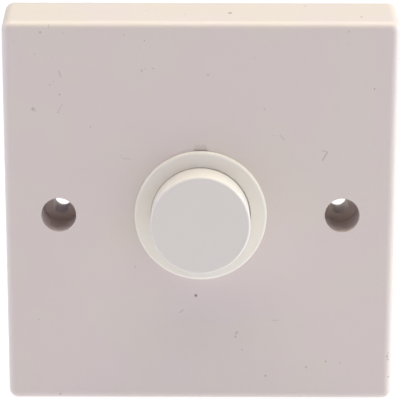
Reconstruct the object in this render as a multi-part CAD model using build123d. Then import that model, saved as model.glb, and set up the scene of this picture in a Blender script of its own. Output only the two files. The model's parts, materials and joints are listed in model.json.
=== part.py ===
from build123d import *

import os
from math import cos, radians, sin, tan

# Push-button time-delay switch on a square wall plate.
# X runs across the plate, Z up it and Y into the wall, and the button faces -Y.
# The pieces are drawn with depths counted along Y from the plane of the wall, so what
# stands in front of the wall has a negative depth. They are then all moved by
# pillar_recess, which puts the origin midway between the ends of the two screw pillars.

# Plate
plate_size = 84.8
plate_front_size = 83.05
plate_depth = 19.3
plate_corner = 2.0
plate_front_corner = 1.9
plate_front_edge = 1.8
plate_hollow_corner = 0.6
plate_wall = 2.4
plate_front_wall = 2.6
plate_front = -plate_depth
plate_inner = plate_front + plate_front_wall
rib_thickness = 1.2
rib_height = 4.0

# Fixing-screw pillars, at the standard spacing of wall-box lugs
fixing_spacing = 60.3
fixing_mouth_radius = 3.72
fixing_mouth_depth = 8.6
fixing_bore_radius = 1.95
pillar_radius = 5.4
pillar_length = 16.4
pillar_recess = plate_depth - pillar_length

# Bosses that take the rear housing's screws
boss_x = 14.0
boss_z = 33.2
boss_radius = 3.2
boss_end = -4.2
lug_thickness = 2.0
small_pilot_radius = 1.1

# Collar
collar_radius = 14.05
collar_rim_height = 1.2
collar_mouth_height = 0.6
collar_rim_round = 0.55
collar_bore_radius = 10.62
collar_sleeve_radius = 12.4
collar_hook_radius = 13.1
collar_sleeve_end = -15.2
collar_hole_radius = 12.5
collar_slots = 4
collar_shift = 0.05
notch_width = 2.7
notch_length = 1.25
notch_depth = 0.5

# Button
button_radius = 10.52
button_proud = 8.5
button_wall = 1.7
button_front_wall = 2.0
button_edge = 0.55
button_flange_radius = 11.6
button_flange_front = -15.0
button_flange_end = -13.8
button_front = plate_front - button_proud
button_inner = button_front + button_front_wall
button_boss_end = -21.4
button_travel = 7.0

# Stem, with the cam that lifts the switch lever as the button goes in
cam_slope = 0.2143
cam_top_radius = 4.7
cam_low_radius = 2.87
cam_low_depth = -1.0
cam_top_depth = cam_low_depth - (cam_top_radius - cam_low_radius) / cam_slope
spigot_radius = 3.0
stem_core_radius = 1.8
piston_front = 2.0
piston_end = 4.0
piston_radius = 5.6
running_gap = 0.05

# Guide bridge and return spring
bridge_front = -6.4
bridge_rear = -5.0
bridge_half_x = 18.2
bridge_half_z = 7.0
guide_front = -14.0
guide_outer_radius = 6.0
spring_radius = 7.0
spring_wire = 0.4
spring_turns = 7
spring_gap = 0.05

# Air cylinder and needle valve
cylinder_front = 0.8
cylinder_radius = 8.8
cylinder_bore = 7.2
cylinder_end_wall = 1.8
cylinder_room = 3.8
cylinder_end = piston_end + button_travel + cylinder_room + cylinder_end_wall
cylinder_ear_end = 2.8
valve_boss_radius = 4.0
valve_boss_end = 21.0
valve_chamber_radius = 1.55
valve_chamber_front = 16.0
valve_seat_radius = 0.6
post_x = 15.0
post_radius = 3.0

# Rear housing
housing_half_x = 22.0
housing_half_z = 30.0
housing_front = -4.2
housing_rear = 20.0
housing_wall = 1.8
housing_rear_wall = 2.0
housing_taper = 0.4
housing_corner = 3.0
housing_inside = housing_rear - housing_rear_wall

# Snap switch and its roller lever
case_half_width = 3.2
case_lid = 0.8
case_front = -4.6
case_rear = 15.2
case_bottom = 12.1
case_top = 22.3
case_hole_depths = (0.6, 10.1)
case_hole_height = 18.8
tag_depths = (-2.2, 3.0, 10.0)
tag_end = 26.7
tag_thickness = 0.5
tag_width = 3.0
pivot_depth = 12.5
pivot_height = 11.5
pivot_radius = 0.5
lever_tilt = 7.0
lever_thickness = 0.4
lever_half_width = 1.75
roller_radius = 2.0
roller_depth = -1.6
roller_height = 5.195
roller_half_width = 1.2
plunger_depth = 4.5
plunger_radius = 0.9

# Terminals and the brass strips that feed them
terminal_places = {"line_terminal": -13.0, "spare_terminal": 0.0, "load_terminal": 13.0}
cage_half_x = 3.5
cage_front = 6.0
cage_rear = 14.0
cage_low = -25.5
cage_high = -17.5
cage_wall = 1.0
cage_middle = (cage_front + cage_rear) / 2
link_thickness = 0.8
link_front = 8.0
link_rear = 12.0
link_side = 19.0
link_top = 25.2


def rod(radius, front, rear, x=0.0, z=0.0):
    """Cylinder along Y between two depths."""
    return Pos(x, (front + rear) / 2, z) * Rot(90, 0, 0) * Cylinder(radius, rear - front)


def pin(radius, low, high, y, z):
    """Cylinder along X between two X coordinates."""
    return Pos((low + high) / 2, y, z) * Rot(0, 90, 0) * Cylinder(radius, high - low)


def slab(x, y, z):
    """Rectangular block from its low and high limits along each axis."""
    limits = (x, y, z)
    sizes = [high - low for low, high in limits]
    middle = [(high + low) / 2 for low, high in limits]
    return Pos(*middle) * Box(*sizes)


def turned(*outline):
    """Solid turned about the button's axis from (radius, depth) points."""
    return revolve(Polygon(*outline, align=None), Axis.Y)


def prism(sketch, front, rear):
    """Sketch drawn in (x, z), carried along Y from one depth to another."""
    plane = Plane(origin=(0, rear, 0), x_dir=(1, 0, 0), z_dir=(0, -1, 0))
    return extrude(plane * sketch, rear - front)


def side_prism(outline, low, high):
    """Outline of (depth, height) points, carried along X."""
    plane = Plane(origin=(low, 0, 0), x_dir=(0, 1, 0), z_dir=(1, 0, 0))
    return extrude(plane * Polygon(*outline, align=None), high - low)


def drafted(rear_size, front_size, rear_corner, front_corner, rear, front):
    """Rounded oblong that narrows from its rear to its front, as a moulding does."""
    sections = []
    for depth, size, corner in ((rear, rear_size, rear_corner), (front, front_size, front_corner)):
        plane = Plane(origin=(0, depth, 0), x_dir=(1, 0, 0), z_dir=(0, -1, 0))
        sections.append(plane * RectangleRounded(*size, corner))
    return loft(sections, ruled=True)


def make_plate_shell():
    """Drafted, hollow plate with its rounded front edge."""
    size = (plate_size, plate_size)
    front_size = (plate_front_size, plate_front_size)
    outside = drafted(size, front_size, plate_corner, plate_front_corner, 0, plate_front)
    front_face = outside.faces().sort_by(Axis.Y)[0]
    outside = fillet(front_face.edges(), plate_front_edge)
    hollow = [side - 2 * plate_wall for side in size]
    front_hollow = [side - 2 * plate_wall for side in front_size]
    corners = (plate_hollow_corner, plate_hollow_corner)
    return outside - drafted(hollow, front_hollow, *corners, 0, plate_inner)


def make_plate_ribs():
    """Stiffening ribs behind the front wall, and the ring round the collar hole."""
    half = plate_size / 2 - plate_wall / 2 - 0.8
    depths = (plate_inner - 0.1, plate_inner + rib_height)
    half_rib = rib_thickness / 2
    ring_radius = collar_radius + 1.6
    ribs = Part()
    for x in (-boss_x, boss_x):
        ribs += slab((x - half_rib, x + half_rib), depths, (-half, half))
    for z in (-boss_z, 0.0, boss_z):
        ribs += slab((-half, half), depths, (z - half_rib, z + half_rib))
    ribs -= rod(ring_radius - half_rib, plate_inner, plate_inner + rib_height + 1)
    ribs += rod(ring_radius + half_rib, *depths) - rod(ring_radius - half_rib, *depths)
    return ribs


def make_faceplate():
    """Wall plate with pillars, bosses, ribs, collar hole and prising notch."""
    plate = make_plate_shell() + make_plate_ribs()
    mouth_end = plate_front + fixing_mouth_depth
    pillar_end = plate_front + pillar_length
    for x in (-fixing_spacing / 2, fixing_spacing / 2):
        plate += rod(pillar_radius, plate_inner - 0.1, pillar_end, x)
        plate -= rod(fixing_mouth_radius, plate_front - 1, mouth_end, x)
        plate -= rod(fixing_bore_radius, mouth_end - 1, pillar_end + 1, x)
    for x in (-boss_x, boss_x):
        for z in (-boss_z, boss_z):
            plate += rod(boss_radius, plate_inner - 0.1, boss_end, x, z)
            plate -= rod(small_pilot_radius, boss_end - 9, boss_end + 1, x, z)
    plate -= rod(collar_hole_radius, plate_front - 1, plate_inner + 1)
    notch_top = collar_radius + notch_length
    ramp = ((plate_front - 0.1, notch_top), (plate_front - 0.1, collar_radius - 1.4),
            (plate_front + notch_depth, collar_radius - 1.4), (plate_front, notch_top))
    return plate - side_prism(ramp, -notch_width / 2, notch_width / 2)


def make_collar():
    """Bezel ring with a dished face, a split sleeve and snap hooks.

    It sits to the right in its hole by collar_shift, part of its play, as in the photo.
    """
    rim_front = plate_front - collar_rim_height
    mouth_front = plate_front - collar_mouth_height
    flange = turned((collar_bore_radius, mouth_front), (collar_radius, rim_front),
                    (collar_radius, plate_front), (collar_bore_radius, plate_front))
    rim_edge = flange.edges().filter_by(GeomType.CIRCLE).group_by(Axis.Y)[0]
    flange = fillet(rim_edge, collar_rim_round)
    sleeve = turned((collar_bore_radius, plate_front - 0.1), (collar_sleeve_radius, plate_front - 0.1),
                    (collar_sleeve_radius, plate_inner + 0.1), (collar_hook_radius, plate_inner + 0.1),
                    (collar_hook_radius, plate_inner + 0.6), (collar_sleeve_radius, collar_sleeve_end),
                    (collar_bore_radius, collar_sleeve_end))
    for place in range(collar_slots):
        slot = slab((-1.5, 1.5), (plate_front + 1.2, collar_sleeve_end + 1), (8, 15))
        sleeve -= Rot(0, 45 + place * 360 / collar_slots, 0) * slot
    return Pos(collar_shift, 0, 0) * (flange + sleeve)


def make_push_button():
    """Hollow cap with a boss for the stem and a stop flange at its rear."""
    inner_radius = button_radius - button_wall
    outside = rod(button_radius, button_front, button_flange_end)
    outside = fillet(outside.edges().group_by(Axis.Y)[0], button_edge)
    button = outside + rod(button_flange_radius, button_flange_front, button_flange_end)
    button -= rod(inner_radius, button_inner, button_flange_end + 1)
    button += rod(5.2, button_inner - 0.1, button_boss_end)
    return button - rod(spigot_radius + running_gap, button_inner, button_boss_end + 1)


def make_plunger_stem():
    """Cored rod with the cam taper behind the guide and the piston head at its end."""
    stem = turned((0, button_inner + 0.3), (spigot_radius, button_inner + 0.3),
                  (spigot_radius, button_boss_end), (cam_top_radius, button_boss_end),
                  (cam_top_radius, cam_top_depth), (cam_low_radius, cam_low_depth),
                  (cam_low_radius, piston_front), (piston_radius, piston_front),
                  (piston_radius, piston_end), (0, piston_end))
    stem -= rod(stem_core_radius, button_inner, -8.0)
    return stem - rod(1.25, -3.0, piston_end + 1)


def make_return_spring():
    """Round-wire compression spring between the button and the bridge."""
    front = button_inner + spring_gap + spring_wire
    rear = bridge_front - spring_gap - spring_wire
    length = rear - front
    path = Helix(pitch=length / spring_turns, height=length, radius=spring_radius,
                 center=(0, front, 0), direction=(0, 1, 0))
    section = Plane(origin=path @ 0, z_dir=path % 0) * Circle(spring_wire)
    return sweep(section, path=path, is_frenet=True)


def make_guide_bridge():
    """Plate with the stem's guide tube, two spacer posts and corner gussets."""
    plate = prism(RectangleRounded(2 * bridge_half_x, 2 * bridge_half_z, 2), bridge_front, bridge_rear)
    bridge = plate + rod(guide_outer_radius + 3.2, bridge_front, bridge_rear)
    bridge += rod(guide_outer_radius, guide_front, bridge_rear)
    for x in (-post_x, post_x):
        bridge += rod(post_radius, bridge_rear - 0.1, cylinder_front, x)
        bridge -= rod(1.7, bridge_front - 1, cylinder_front + 1, x)
    for z in (-5.0, 5.0):
        bridge += slab((-12, 12), (bridge_rear - 0.1, bridge_rear + 1.0), (z - 0.6, z + 0.6))
    bridge -= rod(cam_top_radius + running_gap, guide_front - 1, bridge_rear + 2)
    return bridge - slab((-2.6, 2.6), (bridge_rear - 0.2, 0), (0, 12))


def make_air_cylinder():
    """Dashpot cylinder, closed at the rear, with ears and the needle-valve boss."""
    bore_end = cylinder_end - cylinder_end_wall
    cylinder = rod(cylinder_radius, cylinder_front, cylinder_end)
    cylinder = fillet(cylinder.edges().group_by(Axis.Y)[-1], 0.6)
    for x in (-post_x, post_x):
        cylinder += rod(post_radius, cylinder_front, cylinder_ear_end, x)
        cylinder += slab(sorted((x, 0)), (cylinder_front, cylinder_ear_end), (-2.4, 2.4))
        cylinder -= rod(1.7, cylinder_front - 1, cylinder_ear_end + 1, x)
    cylinder += rod(valve_boss_radius, cylinder_end - 0.1, valve_boss_end)
    cylinder -= turned((0, cylinder_front - 1), (cylinder_bore + 0.4, cylinder_front - 1),
                       (cylinder_bore + 0.4, cylinder_front), (cylinder_bore, cylinder_front + 0.6),
                       (cylinder_bore, bore_end), (0, bore_end))
    cylinder -= rod(valve_seat_radius, bore_end - 1, valve_chamber_front + 1)
    cylinder -= rod(valve_chamber_radius, valve_chamber_front, valve_boss_end + 1)
    air_port = Pos(0, 17.3, 2.5) * Cylinder(0.5, 4)
    return cylinder - air_port


def make_cup_seal():
    """Rubber cup, clamped at its base, with a thin lip that opens to the front."""
    lip = cylinder_bore - running_gap
    return turned((1.4, piston_end), (piston_radius + 0.1, piston_end), (piston_radius + 0.1, 3.4),
                  (lip - 0.5, 1.4), (lip, 1.2), (lip, 2.0), (lip - 0.3, 3.4),
                  (lip - 0.3, piston_end + 0.6), (lip - 0.7, piston_end + 1), (1.4, piston_end + 1))


def make_seal_washer():
    """Disc that clamps the cup's base."""
    front = piston_end + 1
    return rod(5.0, front, front + 0.8) - rod(1.4, front - 1, front + 2)


def make_screw(front, head_radius, head_depth, shank_radius, shank_length):
    """Slotted pan-head screw whose head lies behind the given depth and shank before it."""
    head = fillet(rod(head_radius, front, front + head_depth).edges().group_by(Axis.Y)[-1],
                  head_depth * 0.3)
    shank = rod(shank_radius, front - shank_length, front)
    tip = chamfer(shank.edges().group_by(Axis.Y)[0], shank_radius * 0.4)
    slot = slab((-head_radius, head_radius), (front + head_depth * 0.5, front + head_depth + 1),
                (-0.35, 0.35))
    return head + tip - slot


def make_timing_needle():
    """Brass needle valve: pointed tip, neck, ring groove and slotted end."""
    needle = turned((0, 15.5), (0.2, 15.5), (0.45, valve_chamber_front), (1.25, 17.0), (1.2, 17.0),
                    (1.2, 18.0), (1.5, 18.0), (1.5, 18.4), (1.0, 18.4), (1.0, 19.4), (1.5, 19.4),
                    (1.5, valve_boss_end + 1), (0, valve_boss_end + 1))
    return needle - slab((-2, 2), (valve_boss_end + 0.2, valve_boss_end + 2), (-0.25, 0.25))


def make_needle_seal():
    """Rubber ring in the needle's groove."""
    return Pos(0, 18.9, 0) * Rot(90, 0, 0) * Torus(1.27, 0.24)


def make_air_filter():
    """Felt ring round the valve boss, between the cylinder's end and the housing."""
    front = cylinder_end + running_gap
    rear = housing_inside - running_gap
    return rod(8.2, front, rear) - rod(valve_boss_radius + running_gap, front - 1, rear + 1)


def make_terminal_pocket(x):
    """Walls and ledge that hold one cage, round its wire tunnel."""
    floor = -housing_half_z + housing_wall
    pocket = Part()
    for side in (-1, 1):
        wall_x = sorted((x + side * (cage_half_x + 0.1), x + side * (cage_half_x + 1.3)))
        pocket += slab(wall_x, (4.4, housing_inside + 0.1), (floor - 0.1, cage_high))
    return pocket + slab((x - 4.0, x + 4.0), (4.4, 15.4), (floor - 0.1, cage_low - 0.1))


def make_rear_housing():
    """Box that goes into the wall box, with lugs, posts, pockets and switch rib."""
    mouth = (2 * housing_half_x, 2 * housing_half_z)
    rear = [side - 2 * housing_taper for side in mouth]
    corners = (housing_corner, housing_corner)
    outside = drafted(rear, mouth, *corners, housing_rear, housing_front)
    outside = fillet(outside.faces().sort_by(Axis.Y)[-1].edges(), 1.0)
    hollow = [side - 2 * housing_wall for side in mouth]
    rear_hollow = [side - 2 * housing_taper for side in hollow]
    corners = (housing_corner - housing_wall, housing_corner - housing_wall)
    housing = outside - drafted(rear_hollow, hollow, *corners, housing_inside, housing_front)
    lug_end = housing_front + lug_thickness
    for x in (-boss_x, boss_x):
        for side in (-1, 1):
            z = side * boss_z
            root = sorted((side * (housing_half_z - 0.5), z))
            housing += rod(3.6, housing_front, lug_end, x, z)
            housing += slab((x - 3.6, x + 3.6), (housing_front, lug_end), root)
            housing -= rod(1.6, housing_front - 1, lug_end + 1, x, z)
    for x in (-post_x, post_x):
        housing += rod(post_radius, cylinder_ear_end, housing_inside + 0.1, x)
        housing += slab(sorted((x, x * 1.4)), (link_rear + 0.5, housing_inside + 0.1), (-0.6, 0.6))
        housing -= rod(small_pilot_radius, cylinder_ear_end - 1, 14, x)
    seat = (15.0, housing_inside + 0.1)
    housing += rod(10.4, *seat) - rod(cylinder_radius + 0.1, seat[0] - 1, seat[1] + 1)
    return cut_rear_openings(add_housing_inside(housing))


def add_housing_inside(housing):
    """Terminal pockets and the rib that carries the snap switch."""
    for x in terminal_places.values():
        housing += make_terminal_pocket(x)
    housing += slab((-20.4, 20.4), (4.4, 5.9), (-housing_half_z + 1, cage_high))
    housing += slab((3.3, 7.3), (-1.5, housing_inside + 0.1), (case_bottom + 0.4, case_top))
    for y in case_hole_depths:
        housing -= pin(1.0, 2, 6.8, y, case_hole_height)
    return housing


def cut_rear_openings(housing):
    """Valve hole, breather holes, wire tunnels and windows over the clamp screws."""
    housing -= rod(valve_boss_radius + 0.15, housing_inside - 1, housing_rear + 1)
    for place in range(6):
        turn = radians(60 * place + 30)
        housing -= rod(0.6, housing_inside - 1, housing_rear + 1, 6.2 * cos(turn), 6.2 * sin(turn))
    for x in terminal_places.values():
        tunnel_depths = (cage_middle - 2.4, cage_middle + 2.8)
        housing -= slab((x - 2.6, x + 2.6), tunnel_depths, (-housing_half_z - 1, cage_low + 1))
        housing -= slab((x - 3.4, x + 3.4), (housing_inside - 1, housing_rear + 1), (-25.0, -18.0))
    return housing


def make_microswitch_case():
    """Snap switch shell: solid where it is sealed, with lever ears and a plunger bore."""
    case = slab((-case_half_width, case_half_width - case_lid), (case_front, case_rear),
                (case_bottom, case_top))
    case = chamfer(case.edges().filter_by(Axis.X), 0.4)
    for side in (-1, 1):
        ear_x = sorted((side * 1.95, side * 3.0))
        ear = slab(ear_x, (pivot_depth - 1.1, pivot_depth + 1.1), (pivot_height, case_bottom + 0.3))
        case += ear + pin(1.1, *ear_x, pivot_depth, pivot_height)
    case -= pin(pivot_radius, -4, 4, pivot_depth, pivot_height)
    case -= pin(1.2, -1.95, 1.95, pivot_depth, pivot_height)
    case -= Pos(0, plunger_depth, case_bottom + 1.9) * Cylinder(plunger_radius + running_gap, 4)
    for y in case_hole_depths:
        case -= pin(1.1, -4, 4, y, case_hole_height)
    for y in tag_depths:
        case -= make_tag(y)
    return case


def make_microswitch_lid():
    """Flat cover on the snap switch's open side."""
    lid = slab((case_half_width - case_lid, case_half_width), (case_front + 0.3, case_rear - 0.3),
               (case_bottom + 0.7, case_top - 0.3))
    for y in case_hole_depths:
        lid -= pin(1.1, 2, 4, y, case_hole_height)
    return lid


def make_tag(y):
    """Flat solder tag that stands out of the snap switch's top."""
    half = tag_thickness / 2
    return slab((-half, half), (y - tag_width / 2, y + tag_width / 2), (case_top - 2, tag_end))


def make_switch_plunger():
    """Small push pin with a domed end that the lever bears on."""
    tip = pivot_height - (pivot_depth - plunger_depth) * tan(radians(lever_tilt))
    tip += lever_thickness / 2 + 0.08
    plunger = Pos(0, plunger_depth, (tip + 14.0) / 2) * Cylinder(plunger_radius, 14.0 - tip)
    return fillet(plunger.edges().group_by(Axis.Z)[0], 0.35)


def make_switch_lever():
    """Spring-steel strip, curled round its pivot, with a fork for the roller."""
    half = lever_thickness / 2
    reach = pivot_depth - roller_depth + 1.0
    strip = slab((-lever_half_width, lever_half_width), (-reach, -0.4), (-half, half))
    curl = pin(pivot_radius + 0.45, -lever_half_width, lever_half_width, 0, 0)
    lever = Pos(0, pivot_depth, pivot_height) * Rot(lever_tilt, 0, 0) * (strip + curl)
    fork_top = pivot_height - (pivot_depth - roller_depth) * tan(radians(lever_tilt))
    for side in (-1, 1):
        fork_x = sorted((side * (lever_half_width - lever_thickness), side * lever_half_width))
        lever += slab(fork_x, (roller_depth - 0.9, roller_depth + 0.9), (roller_height, fork_top))
        lever += pin(0.9, *fork_x, roller_depth, roller_height)
    lever -= pin(pivot_radius + running_gap, -3, 3, pivot_depth, pivot_height)
    return lever - pin(0.5, -3, 3, roller_depth, roller_height)


def make_lever_roller():
    """Small acetal roller with rounded rims."""
    roller = pin(roller_radius, -roller_half_width, roller_half_width, roller_depth, roller_height)
    roller = fillet(roller.edges().filter_by(GeomType.CIRCLE), 0.2)
    return roller - pin(0.5 + running_gap, -2, 2, roller_depth, roller_height)


def make_microswitch_screws():
    """Two screws that go through the snap switch into the housing's rib."""
    screws = []
    turn = Rot(0, 0, 90)
    for y in case_hole_depths:
        place = Pos(-case_half_width, y, case_hole_height)
        screws.append(place * turn * make_screw(0, 1.8, 1.1, 0.95, 9.5))
    return Compound(screws)


def make_terminal(x):
    """Square brass cage, open top and bottom, with a hole for its clamp screw."""
    cage = slab((x - cage_half_x, x + cage_half_x), (cage_front, cage_rear), (cage_low, cage_high))
    cage = fillet(cage.edges().filter_by(Axis.Z), 0.6)
    cage -= slab((x - cage_half_x + cage_wall, x + cage_half_x - cage_wall),
                 (cage_front + cage_wall, cage_rear - cage_wall), (cage_low - 1, cage_high + 1))
    middle = (cage_low + cage_high) / 2
    return cage - rod(1.65, cage_rear - 2, cage_rear + 1, x, middle)


def make_terminal_screws():
    """Three clamp screws, one in each cage."""
    middle = (cage_low + cage_high) / 2
    screw = make_screw(cage_rear + 1.4, 2.7, 1.9, 1.6, 2.8)
    return Compound([Pos(x, 0, middle) * screw for x in terminal_places.values()])


def make_link(side, tag_y):
    """Brass strip from a snap-switch tag, down the housing's side, into a cage."""
    half = link_thickness / 2
    terminal = side * 13.0
    foot = cage_high + half + 0.05
    inner = terminal - side * 3.0
    runs = [((side * link_side, inner), foot), ((side * link_side, side * -2.0), link_top)]
    link = slab(sorted((side * (link_side - half), side * (link_side + half))),
                (link_front, link_rear), (foot - half, link_top + half))
    for ends, height in runs:
        link += slab(sorted(ends), (link_front, link_rear), (height - half, height + half))
    front = min(link_front, tag_y - 2)
    link += slab(sorted((side * 5, side * -2.0)), (front, link_rear), (link_top - half, link_top + half))
    link -= slab((-0.3, 0.3), (tag_y - 1.55, tag_y + 1.55), (link_top - 1, link_top + 1))
    link -= slab((-3, 3), (tag_y + 2.5, 20), (link_top - 1, link_top + 1))
    tongue = slab((terminal - 2.3, terminal + 2.3), (cage_front + 1.05, cage_front + 1.85),
                  (cage_high - 5, foot + half))
    return link + tongue + slab((terminal - 2.3, terminal + 2.3), (cage_front + 1.05, link_front + 0.1),
                                (foot - half, foot + half))


def make_piston_screw():
    """Screw that clamps washer and cup to the stem."""
    return make_screw(piston_end + 1.8, 2.3, 1.3, 1.2, 8.0)


def make_mechanism_screws():
    """Two long screws through the bridge and the cylinder's ears into the housing posts."""
    shank = cylinder_ear_end + 9 - bridge_front
    screw = Rot(0, 0, 180) * make_screw(-bridge_front, 2.6, 1.7, 1.05, shank)
    return Compound([Pos(x, 0, 0) * screw for x in (-post_x, post_x)])


def make_assembly_screws():
    """Four screws from the housing's lugs into the plate's bosses."""
    screw = make_screw(housing_front + lug_thickness, 2.9, 1.7, 1.05, 9.5)
    places = [(x, z) for x in (-boss_x, boss_x) for z in (-boss_z, boss_z)]
    return Compound([Pos(x, 0, z) * screw for x, z in places])


pieces = {
    "faceplate": make_faceplate(),
    "collar": make_collar(),
    "push_button": make_push_button(),
    "plunger_stem": make_plunger_stem(),
    "return_spring": make_return_spring(),
    "guide_bridge": make_guide_bridge(),
    "air_cylinder": make_air_cylinder(),
    "cup_seal": make_cup_seal(),
    "seal_washer": make_seal_washer(),
    "piston_screw": make_piston_screw(),
    "timing_needle": make_timing_needle(),
    "needle_seal": make_needle_seal(),
    "air_filter": make_air_filter(),
    "rear_housing": make_rear_housing(),
    "microswitch_case": make_microswitch_case(),
    "microswitch_lid": make_microswitch_lid(),
    "microswitch_tags": Compound([make_tag(y) for y in tag_depths]),
    "microswitch_screws": make_microswitch_screws(),
    "switch_plunger": make_switch_plunger(),
    "switch_lever": make_switch_lever(),
    "lever_pivot": pin(pivot_radius - 0.01, -3.0, 3.0, pivot_depth, pivot_height),
    "lever_roller": make_lever_roller(),
    "roller_axle": pin(0.49, -2.0, 2.0, roller_depth, roller_height),
    "line_link": make_link(-1, tag_depths[2]),
    "load_link": make_link(1, tag_depths[1]),
    "terminal_screws": make_terminal_screws(),
    "mechanism_screws": make_mechanism_screws(),
    "assembly_screws": make_assembly_screws(),
}
for name, x in terminal_places.items():
    pieces[name] = make_terminal(x)

os.makedirs("parts", exist_ok=True)
for name, piece in pieces.items():
    export_step(Pos(0, pillar_recess, 0) * piece, f"parts/{name}.step")
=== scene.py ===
import json
from math import radians

import bpy
import numpy as np
from mathutils import Matrix, Vector


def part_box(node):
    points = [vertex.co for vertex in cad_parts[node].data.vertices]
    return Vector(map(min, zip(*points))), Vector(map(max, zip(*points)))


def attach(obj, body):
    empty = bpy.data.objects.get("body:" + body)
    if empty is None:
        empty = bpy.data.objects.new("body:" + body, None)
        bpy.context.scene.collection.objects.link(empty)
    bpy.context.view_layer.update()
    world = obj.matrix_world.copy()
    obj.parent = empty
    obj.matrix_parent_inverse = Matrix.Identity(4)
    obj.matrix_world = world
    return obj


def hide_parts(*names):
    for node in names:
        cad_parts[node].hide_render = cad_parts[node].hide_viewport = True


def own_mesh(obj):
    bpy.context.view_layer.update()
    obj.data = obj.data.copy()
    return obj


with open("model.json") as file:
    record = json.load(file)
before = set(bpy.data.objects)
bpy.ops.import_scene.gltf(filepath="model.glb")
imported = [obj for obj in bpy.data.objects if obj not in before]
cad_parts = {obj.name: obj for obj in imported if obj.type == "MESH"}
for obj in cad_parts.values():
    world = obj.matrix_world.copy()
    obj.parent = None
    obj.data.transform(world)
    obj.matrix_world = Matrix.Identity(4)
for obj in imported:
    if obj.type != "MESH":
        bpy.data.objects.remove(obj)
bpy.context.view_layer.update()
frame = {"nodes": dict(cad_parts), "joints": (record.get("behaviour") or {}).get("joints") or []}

MM = 0.001

# The camera stands where the photograph was taken: about 0.43 m in front of the plate and
# 0.11 m above its middle, looking slightly down through a long lens. The picture is square.
camera_place = Vector((0.56, -430.8, 113.4)) * MM
camera_pitch, camera_yaw, camera_roll = 14.87, -0.09, -0.10
camera_lens, camera_sensor = 181.7, 36.0
picture_width = 400

camera_turn = (Matrix.Rotation(radians(90), 4, "X") @ Matrix.Rotation(radians(-camera_yaw), 4, "Y")
               @ Matrix.Rotation(radians(-camera_pitch), 4, "X")
               @ Matrix.Rotation(radians(-camera_roll), 4, "Z"))
camera_data = bpy.data.cameras.new("camera")
camera_data.lens = camera_lens
camera_data.sensor_width = camera_sensor
camera_data.clip_start, camera_data.clip_end = 0.01, 50
camera = bpy.data.objects.new("camera", camera_data)
camera.matrix_world = Matrix.Translation(camera_place) @ camera_turn
bpy.context.scene.collection.objects.link(camera)
bpy.context.scene.camera = camera

# The faceplate is one moulding of off-white plastic from a smooth tool, so it has a low satin
# gloss. It has been handled: there are dark specks and hairline scratches on its face and
# top, and small chips along its right-hand edge. Soft patches of painted shade darken its
# face at the prising notch above the collar.
plate_colour = (0.775, 0.685, 0.645)
plate_warm_colour = (0.77, 0.695, 0.625)
# Dark colour of the specks, scratches and chips, and of the painted shade at the notch.
speck_and_shade_colour = (0.20, 0.15, 0.12)


class Tone:
    """A shader value: sums written with it become Math nodes."""

    def __init__(self, finish, socket):
        self.finish, self.socket = finish, socket

    def sum(self, operation, *values):
        numbers = {place: value for place, value in enumerate(values)}
        return self.finish.node("ShaderNodeMath", {"operation": operation}, numbers)

    def __add__(self, other):
        return self.sum("ADD", self, other)

    def __sub__(self, other):
        return self.sum("SUBTRACT", self, other)

    def __rsub__(self, other):
        return self.sum("SUBTRACT", other, self)

    def __mul__(self, other):
        return self.sum("MULTIPLY", self, other)

    __radd__ = __add__
    __rmul__ = __mul__


class Finish:
    """A material for one finish, made of nodes on the object's own coordinates."""

    def __init__(self, name):
        self.material = bpy.data.materials.new(name)
        self.material.use_nodes = True
        self.tree = self.material.node_tree
        self.shader = self.tree.nodes["Principled BSDF"]
        self.point = self.node("ShaderNodeTexCoord", {}, {}, "Object")

    def node(self, kind, settings, inputs, output=0):
        """One node: its settings, then the values or links of its sockets."""
        made = self.tree.nodes.new(kind)
        for name, value in settings.items():
            setattr(made, name, value)
        for name, value in inputs.items():
            self.put(made.inputs[name], value)
        return Tone(self, made.outputs[output])

    def put(self, socket, value):
        """Links a tone to a socket, or sets the socket's own value."""
        if isinstance(value, Tone):
            self.tree.links.new(value.socket, socket)
        elif socket.type == "RGBA":
            socket.default_value = (*value, 1.0)
        else:
            socket.default_value = value

    def mix(self, amount, one, other):
        """Colour between one and other."""
        return self.node("ShaderNodeMix", {"data_type": "RGBA"}, {0: amount, 6: one, 7: other}, 2)

    def noise(self, scale, detail=2.0, rough=0.5):
        """Soft noise from 0 to 1, with a scale in cells a metre."""
        sockets = {"Vector": self.point, "Scale": scale, "Detail": detail, "Roughness": rough}
        return self.node("ShaderNodeTexNoise", {}, sockets, "Fac")

    def between(self, value, low, high, out_low=0.0, out_high=1.0):
        """Smooth step of a value from low to high."""
        sockets = {0: value, 1: low, 2: high, 3: out_low, 4: out_high}
        return self.node("ShaderNodeMapRange", {"interpolation_type": "SMOOTHSTEP"}, sockets)

    def vector(self, operation, one, other, output=0):
        """Vector from two others, or as output 1 a number, such as their distance."""
        return self.node("ShaderNodeVectorMath", {"operation": operation}, {0: one, 1: other}, output)

    def scaled(self, vector, factor):
        """Vector times a number."""
        sockets = {0: vector, "Scale": factor}
        return self.node("ShaderNodeVectorMath", {"operation": "SCALE"}, sockets)

    def set(self, **values):
        """Sets the shader's sockets, named in lower case with underscores."""
        for name, value in values.items():
            self.put(self.shader.inputs[name.replace("_", " ").title()], value)

    def bump(self, height, depth):
        """Relief of a height from 0 to 1, with a depth in metres."""
        sockets = {"Height": height, "Distance": depth, "Strength": 1.0}
        self.put(self.shader.inputs["Normal"], self.node("ShaderNodeBump", {}, sockets))

    def cover(self, *nodes):
        """Puts the finish on CAD nodes, which keep their shapes."""
        for name in nodes:
            mesh = frame["nodes"][name].data
            mesh.materials.clear()
            mesh.materials.append(self.material)


def on_plate(across, down):
    """Point at which the camera's ray through a pixel meets the faceplate."""
    half = picture_width / 2
    slope = camera_sensor / 2 / camera_lens / half
    ray = camera_turn.to_3x3() @ Vector(((across - half) * slope, (half - down) * slope, -1))
    return frame["nodes"]["faceplate"].ray_cast(camera_place, ray)[1]
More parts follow.
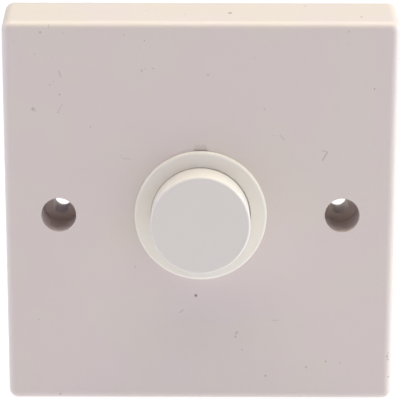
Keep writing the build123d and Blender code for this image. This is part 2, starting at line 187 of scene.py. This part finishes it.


# Marks read from the photograph: across and down in its pixels, then a radius in millimetres
# and a strength. The last two on the face are painted shade: soft dark patches standing in for the
# shadow in the prising notch.
top_specks = (
    (230.0, 13.0, 0.44, 1.00), (305.0, 6.1, 0.28, 0.55), (361.5, 17.0, 0.26, 0.90),
    (146.8, 10.8, 0.30, 0.20), (184.7, 14.2, 0.24, 0.45), (155.0, 9.2, 0.30, 0.12),
)
face_specks_and_notch_shade = (
    (195.9, 295.5, 0.30, 0.85), (374.6, 89.0, 0.13, 1.00), (59.5, 94.5, 0.15, 0.60),
    (33.0, 109.0, 0.38, 0.30), (35.3, 111.3, 0.20, 0.20), (40.0, 32.3, 0.24, 0.35),
    (124.0, 34.8, 0.19, 0.20), (144.4, 40.6, 0.10, 0.70), (141.8, 70.6, 0.29, 0.20),
    (144.6, 68.8, 0.18, 0.12), (153.0, 68.5, 0.14, 0.40), (90.4, 126.8, 0.23, 0.20),
    (135.1, 266.7, 0.22, 0.20), (39.3, 319.4, 0.10, 0.45), (235.5, 336.8, 0.26, 0.25),
    (237.0, 332.4, 0.24, 0.33), (242.2, 349.7, 0.23, 0.20), (265.5, 375.8, 0.22, 0.40),
    (306.1, 367.2, 0.26, 0.25), (325.6, 361.4, 0.13, 0.85), (340.0, 363.1, 0.19, 0.25),
    (60.5, 393.9, 0.26, 0.35), (63.1, 33.2, 0.13, 0.25), (34.7, 54.0, 0.24, 0.10),
    (49.6, 84.8, 0.25, 0.15), (53.1, 81.7, 0.14, 0.20), (208.0, 74.8, 0.28, 0.20),
    (255.2, 58.0, 0.15, 0.15), (348.9, 31.8, 0.25, 0.15), (349.3, 44.4, 0.19, 0.10),
    (264.8, 109.0, 0.25, 0.15), (13.7, 41.9, 0.18, 0.10), (57.9, 112.4, 0.18, 0.25),
    # The last two rows are painted shade in the prising notch, where the plate lies in shadow.
    (183.3, 152.0, 0.20, 0.16), (198.0, 147.6, 0.75, 0.08), (203.2, 147.6, 0.75, 0.08),
)
edge_specks = (
    (387.2, 356.3, 0.34, 0.30), (388.4, 352.9, 0.20, 0.30), (387.9, 359.4, 0.22, 0.45),
    (388.3, 376.7, 0.22, 0.45),
)
# Each scratch runs from one pixel to another, with a half width in millimetres and a strength.
plate_scratches = (
    (58.6, 71.0, 59.6, 73.4, 0.13, 0.27), (59.6, 73.4, 60.8, 76.6, 0.13, 0.28),
    (62.3, 104.6, 58.2, 111.6, 0.10, 0.18), (322.3, 150.8, 327.2, 151.8, 0.10, 0.25),
    (327.2, 152.6, 322.6, 160.3, 0.13, 0.34), (119.5, 155.0, 123.0, 158.6, 0.09, 0.12),
    (123.0, 158.6, 131.0, 159.0, 0.11, 0.15), (272.0, 135.6, 276.0, 135.6, 0.09, 0.12),
    (280.0, 135.2, 284.3, 139.4, 0.12, 0.21), (180.0, 312.4, 183.2, 310.0, 0.14, 0.22),
    (272.3, 320.3, 278.0, 320.3, 0.11, 0.20), (235.2, 334.6, 236.6, 332.8, 0.11, 0.28),
    (48.7, 24.6, 48.8, 27.6, 0.12, 0.20),
)
# A mark fades out between two shares of its radius or half width, and its edge is ragged: a
# fine noise, in cells a metre, shifts the point from which the mark is measured.
speck_fade, scratch_fade = (0.6, 1.4), (0.5, 1.5)
ragged_cells, ragged_shift = 5200.0, 0.18 * MM


def round_marks_and_notch_shade(finish, point):
    """Greatest of the round masks, one for each speck or chip and one for each patch of painted
    shade.
    """
    whole = 0.0
    for across, down, radius, strength in top_specks + face_specks_and_notch_shade + edge_specks:
        distance = finish.vector("DISTANCE", point, tuple(on_plate(across, down)), 1)
        inner, outer = (part * radius * MM for part in speck_fade)
        mask = finish.between(distance, inner, outer, strength, 0.0)
        whole = mask.sum("MAXIMUM", mask, whole)
    return whole


def scratches(finish, point):
    """Greatest of the line masks: each falls off with the distance from one short line."""
    whole = 0.0
    for *pixels, half_width, strength in plate_scratches:
        start, end = on_plate(*pixels[:2]), on_plate(*pixels[2:])
        along = end - start
        from_start = finish.vector("SUBTRACT", point, tuple(start))
        share = finish.vector("DOT_PRODUCT", from_start, tuple(along / along.length_squared), 1)
        share = share.sum("MINIMUM", share.sum("MAXIMUM", share, 0.0), 1.0)
        distance = finish.vector("DISTANCE", from_start, finish.scaled(tuple(along), share), 1)
        inner, outer = (part * half_width * MM for part in scratch_fade)
        mask = finish.between(distance, inner, outer, strength, 0.0)
        whole = mask.sum("MAXIMUM", mask, whole)
    return whole


plate = Finish("plate_moulding")
shift = plate.node("ShaderNodeTexNoise", {}, {"Vector": plate.point, "Scale": ragged_cells}, "Color")
shift = plate.scaled(plate.vector("SUBTRACT", shift, (0.5, 0.5, 0.5)), ragged_shift)
ragged = plate.vector("ADD", plate.point, shift)
# The round masks hold the specks and chips, and also the painted shade at the prising notch.
spots_and_notch_shade = round_marks_and_notch_shade(plate, ragged)
lines = scratches(plate, ragged)
clouding = plate.between(plate.noise(55.0, 3.0), 0.42, 0.58)
colour = plate.mix(clouding, plate_colour, plate_warm_colour)
colour = plate.mix(lines.sum("MAXIMUM", lines, spots_and_notch_shade), colour, speck_and_shade_colour)
plate.set(base_color=colour, roughness=0.40 + plate.noise(900.0) * 0.08 + spots_and_notch_shade * 0.3)
plate.bump(plate.noise(1600.0, 3.0) - spots_and_notch_shade * 0.4 - lines * 0.4, 0.03 * MM)
plate.cover("faceplate")

# The collar is a ring moulded in a slightly whiter batch of the same plastic. The hooks on its
# split sleeve snap in behind the plate.
collar = Finish("collar_moulding")
grain = collar.noise(1500.0, 3.0)
shade = collar.between(collar.noise(120.0), 0.4, 0.6)
collar.set(base_color=collar.mix(shade, (0.92, 0.884, 0.785), (0.92, 0.888, 0.80)),
           roughness=0.42 + grain * 0.08)
collar.bump(grain, 0.02 * MM)
collar.cover("collar")

# The push button is a hollow cap of the same plastic, a touch cooler in colour, with a smooth
# satin face. The flange at its rear stops it behind the collar.
button = Finish("button_moulding")
grain = button.noise(1500.0, 3.0)
shade = button.between(button.noise(160.0), 0.4, 0.6)
button.set(base_color=button.mix(shade, (0.82, 0.774, 0.717), (0.815, 0.777, 0.712)),
           roughness=0.44 + grain * 0.08)
button.bump(grain, 0.02 * MM)
button.cover("push_button")

# The stem is a smooth rod of white acetal that clips into the button's boss. The lever's
# roller is of the same plastic, and runs on the stem's taper.
acetal = Finish("white_acetal")
grain = acetal.noise(2600.0, 3.0)
acetal.set(base_color=acetal.mix(grain, (0.76, 0.75, 0.71), (0.70, 0.69, 0.65)),
           roughness=0.32 + grain * 0.1, subsurface_weight=0.1)
acetal.bump(grain, 0.01 * MM)
acetal.cover("plunger_stem", "lever_roller")

# The switch's lever is a strip of bright spring steel, curled round its pivot and forked for
# the roller. The two pins are drawn from the same steel.
spring = Finish("spring_steel")
grain = spring.noise(5000.0, 2.0)
spring.set(base_color=(0.56, 0.55, 0.53), metallic=1.0, roughness=0.24 + grain * 0.16)
spring.bump(grain, 0.01 * MM)
spring.cover("switch_lever", "lever_pivot", "roller_axle")

# The return spring is the same steel as round wire, wound into an open coil. It bears on the
# guide bridge.
wire_radius = 0.4 * MM
coil_turns = 7
turn_steps, wire_sides = 48, 16


def wound_wire(front, rear, radius):
    """Tube round a line that winds about the Y axis at an even pitch: a circle of the wire's
    radius stands square to the line at each step, and both ends are closed flat."""
    steps = coil_turns * turn_steps
    angle = np.linspace(0.0, 2 * np.pi * coil_turns, steps + 1)[:, None]
    level = np.zeros_like(angle)
    out = np.stack([np.cos(angle), level, np.sin(angle)], axis=2)
    pitch = level + (rear - front) / (2 * np.pi * coil_turns)
    run = np.stack([-radius * np.sin(angle), pitch, radius * np.cos(angle)], axis=2)
    run /= np.linalg.norm(run, axis=2, keepdims=True)
    line = radius * out
    line[:, :, 1] += front + pitch * angle
    turn = np.linspace(0.0, 2 * np.pi, wire_sides, endpoint=False)[None, :, None]
    points = line + wire_radius * (np.cos(turn) * out + np.sin(turn) * np.cross(run, out))
    step, side = np.meshgrid(np.arange(steps), np.arange(wire_sides), indexing="ij")
    near, far = step * wire_sides, (step + 1) * wire_sides
    past = (side + 1) % wire_sides
    faces = np.stack([near + side, near + past, far + past, far + side], axis=2)
    faces = faces.reshape(-1, 4).tolist()
    first = list(range(wire_sides))
    faces += [first[::-1], [steps * wire_sides + corner for corner in first]]
    mesh = bpy.data.meshes.new("coil_spring")
    mesh.from_pydata(points.reshape(-1, 3).tolist(), [], faces)
    mesh.polygons.foreach_set("use_smooth", [len(face) == 4 for face in faces])
    return mesh


spring_low, spring_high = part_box("return_spring")
spring_mesh = wound_wire(spring_low.y + wire_radius, spring_high.y - wire_radius,
                         spring_high.x - wire_radius)
spring_mesh.materials.append(spring.material)
coil_spring = bpy.data.objects.new("coil_spring", spring_mesh)
bpy.context.scene.collection.objects.link(coil_spring)
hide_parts("return_spring")
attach(coil_spring, "housing")
travel = next(joint["range_m"][1] for joint in frame["joints"] if joint["name"] == "button_push")
free_length = spring_high.y - spring_low.y
(free_length - travel) / free_length
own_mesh(coil_spring)

# The guide bridge and the air cylinder are moulded in natural nylon, slightly yellow and matt.
# Two long screws go through both and hold them on the rear housing's posts.
nylon = Finish("natural_nylon")
grain = nylon.noise(2200.0, 4.0)
tint = nylon.between(nylon.noise(150.0), 0.35, 0.65)
nylon.set(base_color=nylon.mix(tint, (0.64, 0.60, 0.49), (0.60, 0.56, 0.45)),
          roughness=0.42 + grain * 0.12, subsurface_weight=0.15)
nylon.bump(grain, 0.02 * MM)
nylon.cover("guide_bridge", "air_cylinder")

# The cup on the piston and the ring on the needle are moulded in black rubber, and dusted
# with talc so that they don't stick.
rubber = Finish("black_rubber")
grain = rubber.noise(3000.0, 4.0)
talc = rubber.between(grain, 0.45, 0.8)
rubber.set(base_color=rubber.mix(talc, (0.018, 0.018, 0.018), (0.06, 0.06, 0.058)),
           roughness=0.62 + grain * 0.2)
rubber.bump(grain, 0.03 * MM)
rubber.cover("cup_seal", "needle_seal")

# The filter is a ring of pressed grey felt, with short fibres in every direction. It sits
# round the valve boss, between the cylinder's end and the rear housing.
felt = Finish("grey_felt")
fibres = felt.noise(3800.0, 5.0, 0.7)
felt.set(base_color=felt.mix(fibres, (0.24, 0.235, 0.22), (0.46, 0.45, 0.42)), roughness=0.95)
felt.bump(fibres, 0.12 * MM)
felt.cover("air_filter")

# The rear housing is a box moulded in the plate's plastic, matt because its tool was spark
# eroded. Four screws through its lugs hold it on the plate.
housing = Finish("housing_moulding")
grain = housing.noise(2400.0, 4.0, 0.6)
shade = housing.between(housing.noise(70.0), 0.4, 0.6)
housing.set(base_color=housing.mix(shade, (0.62, 0.565, 0.535), (0.60, 0.555, 0.515)),
            roughness=0.55 + grain * 0.12)
housing.bump(grain, 0.05 * MM)
housing.cover("rear_housing")

# The snap switch's case and lid are matt black mouldings. Two small screws go through both,
# into the rear housing's rib.
case = Finish("switch_moulding")
grain = case.noise(2600.0, 4.0)
case.set(base_color=case.mix(grain, (0.026, 0.026, 0.028), (0.045, 0.045, 0.047)),
         roughness=0.48 + grain * 0.15)
case.bump(grain, 0.03 * MM)
case.cover("microswitch_case", "microswitch_lid")

# The snap switch's push pin is a small smooth moulding in red, with a domed end that the
# lever bears on.
pin = Finish("plunger_moulding")
grain = pin.noise(2600.0, 3.0)
pin.set(base_color=pin.mix(grain, (0.46, 0.06, 0.04), (0.38, 0.045, 0.03)),
        roughness=0.35 + grain * 0.1)
pin.bump(grain, 0.01 * MM)
pin.cover("switch_plunger")

# Terminals, strips and tags are plain brass, cut and bent, and the timing needle is turned
# from brass bar. All are a little tarnished in patches.
brass = Finish("terminal_brass")
grain = brass.noise(3200.0, 3.0)
tarnish = brass.between(brass.noise(380.0, 4.0), 0.42, 0.62)
brass.set(base_color=brass.mix(tarnish, (0.74, 0.55, 0.27), (0.60, 0.42, 0.20)), metallic=1.0,
          roughness=0.24 + grain * 0.12 + tarnish * 0.12)
brass.bump(grain, 0.01 * MM)
brass.cover("line_terminal", "spare_terminal", "load_terminal", "line_link", "load_link",
            "microswitch_tags", "timing_needle")

# Every screw and the cup's washer are steel, plated with zinc that has a cloudy pale film.
# The clamp screws turn in the brass cages, and the others cut their threads in plastic.
zinc = Finish("plated_steel")
grain = zinc.noise(3600.0, 3.0)
cloud = zinc.between(zinc.noise(420.0, 4.0), 0.4, 0.65)
zinc.set(base_color=zinc.mix(cloud, (0.66, 0.66, 0.64), (0.55, 0.55, 0.52)), metallic=1.0,
         roughness=0.26 + grain * 0.12 + cloud * 0.1)
zinc.bump(grain, 0.01 * MM)
zinc.cover("seal_washer", "piston_screw", "terminal_screws", "mechanism_screws", "assembly_screws",
           "microswitch_screws")

# The floor is a plain white light table that the plate's lower edge stands on. It glows evenly,
# so it lights the plate from below and hardly shows a shadow.
floor_half = 4.0
floor_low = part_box("faceplate")[0].z
floor_mesh = bpy.data.meshes.new("floor")
corners = [(floor_half * across, floor_half * away, floor_low)
           for across, away in ((-1, -1), (1, -1), (1, 1), (-1, 1))]
floor_mesh.from_pydata(corners, [], [(0, 1, 2, 3)])
floor = bpy.data.objects.new("floor", floor_mesh)
bpy.context.scene.collection.objects.link(floor)
sweep = Finish("floor_sweep")
sweep.set(base_color=(0.20, 0.20, 0.20), roughness=0.7, emission_color=(0.97, 0.97, 1.0),
          emission_strength=0.86)
floor_mesh.materials.append(sweep.material)

# Studio light: a dim room with a large warm soft box overhead, a strong cool one at the right,
# a weaker one at the left, and faint blue ones in front and behind that colour the shadows.
bpy.context.scene.view_settings.view_transform = "Standard"
world = bpy.data.worlds.new("room")
world.use_nodes = True
world.node_tree.nodes["Background"].inputs["Color"].default_value = (1.0, 0.95, 0.7, 1.0)
world.node_tree.nodes["Background"].inputs["Strength"].default_value = 0.03
bpy.context.scene.world = world


def soft_box(name, place, size, power, colour, target=(0, 0, 0)):
    """Rectangular soft light that faces a target."""
    data = bpy.data.lights.new(name, "AREA")
    data.shape, data.size, data.size_y = "RECTANGLE", *size
    data.energy, data.color = power, colour
    lamp = bpy.data.objects.new(name, data)
    lamp.location = place
    lamp.rotation_euler = (Vector(target) - Vector(place)).to_track_quat("-Z", "Y").to_euler()
    bpy.context.scene.collection.objects.link(lamp)


tall_box = (0.6, 0.9)
soft_box("overhead", (0.0, 0.0, 1.3), (1.6, 1.2), 22.0, (1.0, 0.956, 0.79))
soft_box("right_side", (1.1, 0.1, 0.35), tall_box, 12.7, (0.80, 0.87, 0.93))
soft_box("right_front", (0.9, -0.9, 0.4), tall_box, 2.5, (0.70, 0.65, 1.0))
soft_box("left_side", (-1.1, 0.1, 0.35), tall_box, 5.8, (0.60, 0.66, 0.92))
soft_box("left_front", (-0.9, -0.9, 0.4), tall_box, 1.3, (0.44, 0.36, 1.0))
soft_box("behind", (0.0, 1.3, 0.9), (1.8, 0.9), 2.0, (0.25, 0.37, 1.0), target=(0, 0.2, 0))
